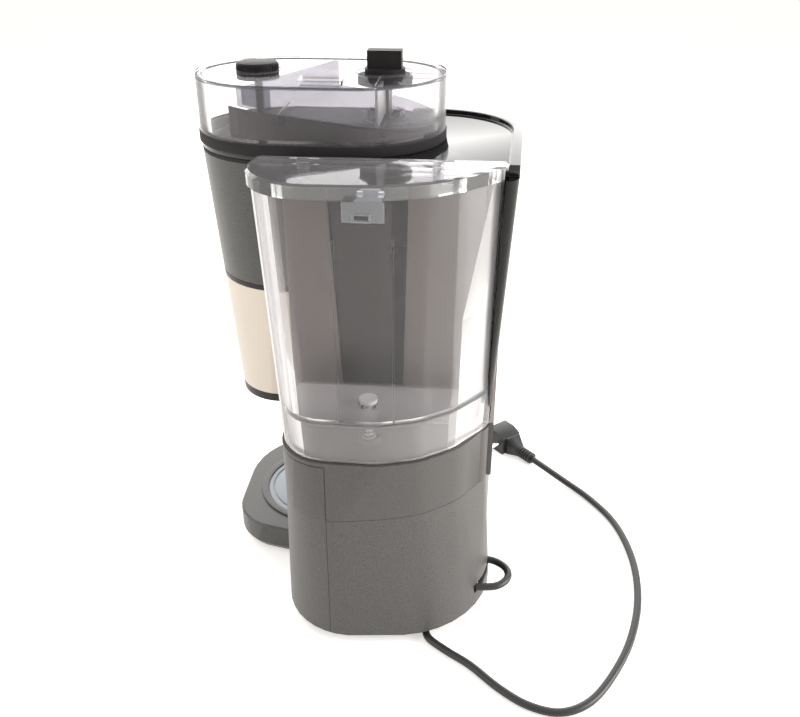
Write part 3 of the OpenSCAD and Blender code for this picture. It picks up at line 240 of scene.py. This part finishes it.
def clear_plastic(name, tint=(0.985, 0.987, 0.99), haze=0.03, rough=0.04, bend=1.45, milk=0.0,
                  floor_veil=0.0, level_haze=None, level_gloss=1.0, rim_shade_line=None):
    """Moulded clear plastic: see-through, with a Fresnel gloss, and milky where it is seen edge on.

    Level faces may have their own haze, and a share of the gloss. Below the tank floor's height more of the
    pale veil makes the tank's floor and foot paler. A painted shade line, dark, runs round the sides between
    two heights.
    """
    finish = new_finish(name)
    height = finish.axes()[2]
    through = finish.node("ShaderNodeBsdfTransparent", {}, {"Color": (*tint, 1.0)})
    gloss = finish.node("ShaderNodeBsdfGlossy", {}, {"Color": (0.96, 0.96, 0.97, 1.0), "Roughness": rough})
    veil = finish.node("ShaderNodeBsdfDiffuse", {}, {"Color": (0.86, 0.85, 0.85, 1.0)})
    facing = finish.node("ShaderNodeNewGeometry", output="True Normal")
    shine = finish.node("ShaderNodeFresnel", {}, {"IOR": bend, "Normal": facing})
    slant = finish.node("ShaderNodeLayerWeight", {}, {"Blend": 0.5, "Normal": facing}, "Facing")
    upward = finish.node("ShaderNodeSeparateXYZ", {}, {0: facing}, 2)
    level = upward * upward > 0.5
    level_haze = haze if level_haze is None else level_haze
    edge_milk = milk * slant * slant * slant * (1 - level)
    cloud = haze + (level_haze - haze) * level + edge_milk
    # Below the tank floor's height, more of the pale veil makes the tank's floor and foot paler
    if floor_veil:
        low = height < TANK_FLOOR_Z
        cloud = cloud + (floor_veil + 0.2 * level - 0.75 * edge_milk) * low
    body = finish.mix(cloud, through, veil)
    # Painted shade: a dark line round the sides near the clear piece's top rim
    if rim_shade_line:
        shade = finish.node("ShaderNodeBsdfDiffuse", {}, {"Color": (0.10, 0.11, 0.13, 1.0)})
        edge = (height > rim_shade_line[0]) * (height < rim_shade_line[1]) * (1 - level)
        body = finish.mix(0.6 * edge, body, shade)
    return finish.surface(finish.mix(shine * (1 - (1 - level_gloss) * level), body, gloss))


def brushed_metal(name, tone, rough=0.3, along=(60, 60, 3000), metal=1.0):
    """Metal with a fine grain round the piece."""
    finish = new_finish(name)
    streak = finish.noise(1.0, 3, finish.stretched(along))
    shader = finish.principled(
        Base_Color=finish.tint(streak, shaded(tone, 0.95), tone),
        Metallic=metal,
        Roughness=rough + 0.15 * (streak - 0.5),
        Normal=finish.bump(streak, 0.05, 0.2 * MM),
    )
    return finish.surface(shader)


def rim_shade_heights(name, drop=1.3 * MM):
    """Heights of the painted shade line along the top edge of a clear piece."""
    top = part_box(name)[1].z
    return top - drop, top + drop


casing_black = grained_plastic("casing black grain", (0.075, 0.072, 0.070))
# The third tone, near black, is the painted shade on the brew head's roof
head_black = head_plastic("brew head black", (0.06, 0.058, 0.056), (0.012, 0.010, 0.011))
column_black = column_plastic("column grey black", band=(0.086, 0.081, 0.079), column=(0.40, 0.355, 0.34),
                              recess=(0.046, 0.042, 0.043))
gloss_black = plain_plastic("gloss black", (0.012, 0.012, 0.013), 0.07)
knob_black = plain_plastic("knob black", (0.022, 0.020, 0.021), 0.45, 1.15)
rim_black = plain_plastic("basket rim black", (0.03, 0.028, 0.028), 0.38, 1.28)
tank_clear = clear_plastic("tank clear", (0.945, 0.938, 0.94), haze=0.022, rough=0.32, bend=1.22, milk=0.7,
                           floor_veil=0.14)
lid_clear = clear_plastic("tank lid clear", haze=0.05, rough=0.05, bend=1.5, milk=0.1, level_haze=0.12,
                          rim_shade_line=rim_shade_heights("tank_lid"))
hopper_clear = clear_plastic("hopper clear", (0.955, 0.95, 0.958), 0.05, 0.15, 1.1, milk=0.3,
                             level_haze=0.008, level_gloss=0.06, rim_shade_line=rim_shade_heights("hopper_shell"))
# Painted shade: the bean tray's see-through tint is dark, to stand for the shade under the tray
tray_shade_tint = clear_plastic("bean tray painted shade", (0.60, 0.60, 0.63), 0.05, 0.3, 1.12, milk=0.2, level_gloss=0.1)
clip_frost = clear_plastic("frosted clip", (0.86, 0.88, 0.92), 0.14, 0.3, 1.35, milk=0.2)
# Painted shade: the dark tone of the wall inside the hopper, under the tray's slope
chamber_shade = plain_plastic("chamber dark", (0.085, 0.075, 0.078), 0.6, 1.3)
sleeve_steel = brushed_metal("sleeve steel", (0.60, 0.54, 0.47), 0.45, metal=0.5)
bright_metal = brushed_metal("machined metal", (0.62, 0.62, 0.63), 0.3)
plate_grey = plain_plastic("plate coating", (0.30, 0.33, 0.36), 0.4)
cord_black = plain_plastic("cord black", (0.016, 0.016, 0.017), 0.42)
rubber_black = plain_plastic("rubber black", (0.03, 0.03, 0.03), 0.7)
grey_plastic = plain_plastic("grey plastic", (0.10, 0.10, 0.105), 0.45)
pin_metal = brushed_metal("pin metal", (0.8, 0.8, 0.78), 0.2)
board_green = plain_plastic("board green", (0.02, 0.12, 0.05), 0.4)
filter_cloth = plain_plastic("filter mesh", (0.55, 0.48, 0.36), 0.7)
hose_pale = plain_plastic("hose pale", (0.6, 0.6, 0.6), 0.5)

# Which pieces wear which finish
WEARS = {
    casing_black: "base_shell base_plate rear_cover hinge_bracket cord_gland hot_plate_ring",
    column_black: "upper_casing tank_seat",
    head_black: "brew_head basket_grip basket_hook hopper_collar",
    rim_black: "basket_holder",
    gloss_black: "top_cover front_panel display_lens",
    knob_black: "grind_knob selector_knob strength_dial power_button start_button",
    tank_clear: "tank_shell",
    lid_clear: "tank_lid",
    hopper_clear: "hopper_shell left_hopper_lid right_hopper_lid",
    tray_shade_tint: "bean_tray",
    clip_frost: "lid_clip",
    sleeve_steel: "brew_sleeve",
    bright_metal: "grind_link burr_ring motor_pinion burr_gear burr_cone grinder_motor heater "
    "basket_hinge_pin drip_spring base_screws",
    plate_grey: "hot_plate",
    cord_black: "power_cord cord_loop plug_body",
    rubber_black: "rubber_feet",
    grey_plastic: "adjust_ring bean_shutter grinder_housing grounds_chute spray_head seat_spigot "
    "drip_stop thermostat valve_spring",
    pin_metal: "plug_pins",
    board_green: "control_board",
    filter_cloth: "filter_cone",
    hose_pale: "riser_tube cold_hose tank_valve",
}
for material, names in WEARS.items():
    for name in names.split():
        nodes[name].data.materials.clear()
        nodes[name].data.materials.append(material)


WELD_GAP = 0.02 * MM


def edge_group(angle):
    """Joins loose facets and smooths all edges flatter than the angle."""
    group = bpy.data.node_groups.new("smooth facets", "GeometryNodeTree")
    group.interface.new_socket("Geometry", in_out="INPUT", socket_type="NodeSocketGeometry")
    group.interface.new_socket("Geometry", in_out="OUTPUT", socket_type="NodeSocketGeometry")
    make, link = group.nodes.new, group.links.new
    start, end = make("NodeGroupInput"), make("NodeGroupOutput")
    weld = make("GeometryNodeMergeByDistance")
    weld.inputs["Distance"].default_value = WELD_GAP
    faces, edges = make("GeometryNodeSetShadeSmooth"), make("GeometryNodeSetShadeSmooth")
    edges.domain = "EDGE"
    edges.inputs["Shade Smooth"].default_value = False
    turn, sharp = make("GeometryNodeInputMeshEdgeAngle"), make("FunctionNodeCompare")
    sharp.inputs[1].default_value = math.radians(angle)
    link(turn.outputs["Unsigned Angle"], sharp.inputs[0])
    link(start.outputs[0], weld.inputs[0])
    link(weld.outputs[0], faces.inputs[0])
    link(faces.outputs[0], edges.inputs[0])
    link(sharp.outputs[0], edges.inputs["Selection"])
    link(edges.outputs[0], end.inputs[0])
    return group


smooth_facets = edge_group(32)
# Widths of the rounded edges, in millimetres
EDGES = {
    0.8: "top_cover hopper_collar hot_plate_ring plug_body",
    0.5: "grind_knob selector_knob lid_clip left_hopper_lid right_hopper_lid basket_hook basket_grip "
    "hot_plate strength_dial power_button start_button hinge_bracket",
}


def soften(name, width=None):
    """Rounds a piece's edges a little and smooths its facets."""
    piece = nodes[name]
    if "custom_normal" in piece.data.attributes:
        piece.data.attributes.remove(piece.data.attributes["custom_normal"])
    if width:
        weld = piece.modifiers.new("weld", "WELD")
        weld.merge_threshold = WELD_GAP
        edge = piece.modifiers.new("edge", "BEVEL")
        edge.width = width * MM
        edge.segments = 3
        edge.limit_method = "ANGLE"
        edge.angle_limit = math.radians(40)
    smooth = piece.modifiers.new("smooth", "NODES")
    smooth.node_group = smooth_facets


edge_width = {name: width for width, names in EDGES.items() for name in names.split()}
for name in nodes:
    soften(name, edge_width.get(name))


def springy(name):
    """A smooth-shaded copy of a spring that stands in its place; the spring piece itself is hidden."""
    coil = bpy.data.objects.new(name + "_coil", nodes[name].data.copy())
    bpy.context.scene.collection.objects.link(coil)
    coil.data.shade_smooth()
    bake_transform(coil)
    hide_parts(name)


springy("valve_spring")
springy("drip_spring")


# Chamber wall, a dark sheet of painted shade: its inset from the hopper, the heights of its foot and of its
# top at x = 0 over the hopper's lowest point, the least height, the slope of the top and the thickness
WALL_INSET = 3.7 * MM
WALL_FOOT = 6.6 * MM
WALL_TOP = 18.4 * MM
WALL_LEAST = 1 * MM
WALL_SLOPE = 0.118
WALL_T = 1.2 * MM


def chamber_shade_wall():
    """Dark wall inside the hopper that closes the grinder chamber under the tray's slope; it is a dark sheet
    of painted shade, standing for the shade there.
    """
    (low_x, far_y, low_z), (high_x, near_y, _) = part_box("hopper_shell")
    hopper_r, middle_y = (near_y - far_y) / 2, (near_y + far_y) / 2
    wall_r = hopper_r - WALL_INSET
    foot = low_z + WALL_FOOT
    line = [(high_x - hopper_r, turn) for turn in range(62, 91, 7)]
    line += [(low_x + hopper_r, turn) for turn in range(90, 157, 6)]
    points = []
    for middle_x, turn in line:
        x = middle_x + wall_r * math.cos(math.radians(turn))
        y = middle_y + wall_r * math.sin(math.radians(turn))
        top = max(low_z + WALL_TOP + WALL_SLOPE * x, foot + WALL_LEAST)
        points += [(x, y, foot), (x, y, top)]
    faces = [(2 * i, 2 * i + 1, 2 * i + 3, 2 * i + 2) for i in range(len(line) - 1)]
    data = bpy.data.meshes.new("chamber_shade_wall")
    data.from_pydata(points, [], faces)
    data.materials.append(chamber_shade)
    wall = bpy.data.objects.new("chamber_shade_wall", data)
    bpy.context.scene.collection.objects.link(wall)
    thick = wall.modifiers.new("thick", "SOLIDIFY")
    thick.thickness = WALL_T
    thick.offset = 1.0
    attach(wall, "casing")


chamber_shade_wall()

# The mains cord lies on the floor, and a second loop of it comes out of the side
CORD_D = 6.4 * MM
CORD_Z = CORD_D / 2 + 0.2 * MM
PLUG_Z = 6.5 * MM
CORD_ROUTE = [(-63, 112), (-67, 122), (-82, 134), (-101, 147), (-124, 168), (-146, 182), (-170, 186),
              (-193, 174), (-214, 146), (-233, 108), (-246, 61), (-249, 10), (-240, -40), (-220, -78),
              (-192, -110), (-164, -141)]
LOOP_ROUTE = [(-108, 44), (-120, 46), (-129, 53), (-132, 62), (-129, 71), (-120, 78), (-104, 80)]
LOOP_Z = 24 * MM


def smooth_route(points, steps):
    """A smooth curve through the points."""
    out = []
    for i in range(len(points) - 1):
        a, b = points[max(i - 1, 0)], points[i]
        c, d = points[i + 1], points[min(i + 2, len(points) - 1)]
        for j in range(steps):
            t = j / steps
            out.append(b + (c - a) * t / 2 + (2 * a - 5 * b + 4 * c - d) * t * t / 2
                       + (3 * b - a - 3 * c + d) * t ** 3 / 2)
    return out + [points[-1]]


def length_of(points):
    return sum((b - a).length for a, b in zip(points, points[1:]))


def cord_curve(name, route, heights, node):
    """A round cord that stands for a solid one, and its line."""
    line = smooth_route([Vector((x * MM, y * MM, z)) for (x, y), z in zip(route, heights)], 6)
    data = bpy.data.curves.new(name, "CURVE")
    data.dimensions = "3D"
    data.bevel_depth = CORD_D / 2
    data.bevel_resolution = 5
    data.use_fill_caps = True
    spline = data.splines.new("POLY")
    spline.points.add(len(line) - 1)
    for point, place in zip(spline.points, line):
        point.co = (*place, 1.0)
    spline.use_smooth = True
    cord = bpy.data.objects.new(name, data)
    bpy.context.scene.collection.objects.link(cord)
    data.materials.append(cord_black)
    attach(cord, "casing")
    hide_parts(node)
    return cord, line


# Only the last points rise, to the plug
flex_heights = [CORD_Z] * (len(CORD_ROUTE) - 2) + [(CORD_Z + PLUG_Z) / 2, PLUG_Z]
flex, flex_line = cord_curve("flex", CORD_ROUTE, flex_heights, "power_cord")
length_of(flex_line)
loop, loop_line = cord_curve("flex_loop", LOOP_ROUTE, [LOOP_Z] * len(LOOP_ROUTE), "cord_loop")
length_of(loop_line)


def light_paths(finish):
    """One for rays that should see the plain white surround."""
    names = ("Is Camera Ray", "Is Glossy Ray", "Is Transmission Ray")
    camera_ray, glossy_ray, clear_ray = [finish.node("ShaderNodeLightPath", output=name) for name in names]
    return camera_ray + glossy_ray + clear_ray > 0.5


def white_floor():
    bpy.ops.mesh.primitive_plane_add(size=30, location=(0, 0, -0.2 * MM))
    floor = bpy.context.object
    floor.name = "floor"
    finish = new_finish("white floor")
    lit = finish.node("ShaderNodeBsdfDiffuse", {}, {"Color": (0.93, 0.915, 0.89, 1.0)})
    glow = finish.node("ShaderNodeEmission", {}, {"Color": (1.0, 0.99, 0.97, 1.0), "Strength": 0.5})
    dark = finish.node("ShaderNodeEmission", {}, {"Strength": 0.0})
    seen = finish.mix(light_paths(finish), dark, glow)
    floor.data.materials.append(finish.surface(finish.node("ShaderNodeAddShader", {}, {0: lit, 1: seen})))


def white_world():
    finish = Finish(bpy.data.worlds.new("white room"))
    shown = finish.node("ShaderNodeBackground", {}, {"Color": (1.0, 1.0, 0.99, 1.0), "Strength": 1.0})
    room = finish.node("ShaderNodeBackground", {}, {"Color": (1.0, 0.985, 0.965, 1.0), "Strength": 0.55})
    both = finish.mix(light_paths(finish), room, shown)
    bpy.context.scene.world = finish.surface(both, "ShaderNodeOutputWorld")


def lamp(name, place, target, size, power, tone=(1.0, 0.98, 0.95)):
    data = bpy.data.lights.new(name, "AREA")
    data.shape = "RECTANGLE"
    data.size, data.size_y = size
    data.energy = power
    data.color = tone
    made = bpy.data.objects.new(name, data)
    bpy.context.scene.collection.objects.link(made)
    made.location = place
    made.rotation_euler = (Vector(target) - Vector(place)).to_track_quat("-Z", "Y").to_euler()


def camera():
    """The photograph's view: from behind the tank, looking down."""
    data = bpy.data.cameras.new("view")
    data.sensor_width = 36.0
    data.lens = FOCAL_PIXELS / IMAGE_W * data.sensor_width
    data.clip_start = 0.01
    made = bpy.data.objects.new("view", data)
    bpy.context.scene.collection.objects.link(made)
    level = math.cos(CAMERA_PITCH)
    ahead = Vector((math.sin(CAMERA_SWING) * level, -math.cos(CAMERA_SWING) * level, -math.sin(CAMERA_PITCH)))
    side = ahead.cross(Vector((0, 0, 1))).normalized()
    up = side.cross(ahead)
    turn = Matrix((side, up, -ahead)).transposed()
    made.matrix_world = Matrix.Translation(CAMERA_AT) @ turn.to_4x4()
    bpy.context.scene.camera = made


white_floor()
white_world()
camera()
lamp("window behind", (0.3, -2.4, 1.6), (0, 0, 0.3), (6.0, 3.0), 130)
lamp("ceiling", (0.2, 0.2, 2.4), (0, 0, 0.2), (2.5, 2.5), 14)
lamp("left wall", (2.0, 0.8, 1.0), (0, 0, 0.25), (1.6, 1.6), 12)
lamp("right wall", (-1.9, 0.3, 0.5), (0, 0, 0.2), (1.2, 1.2), 52)
bpy.context.scene.view_settings.view_transform = "Standard"
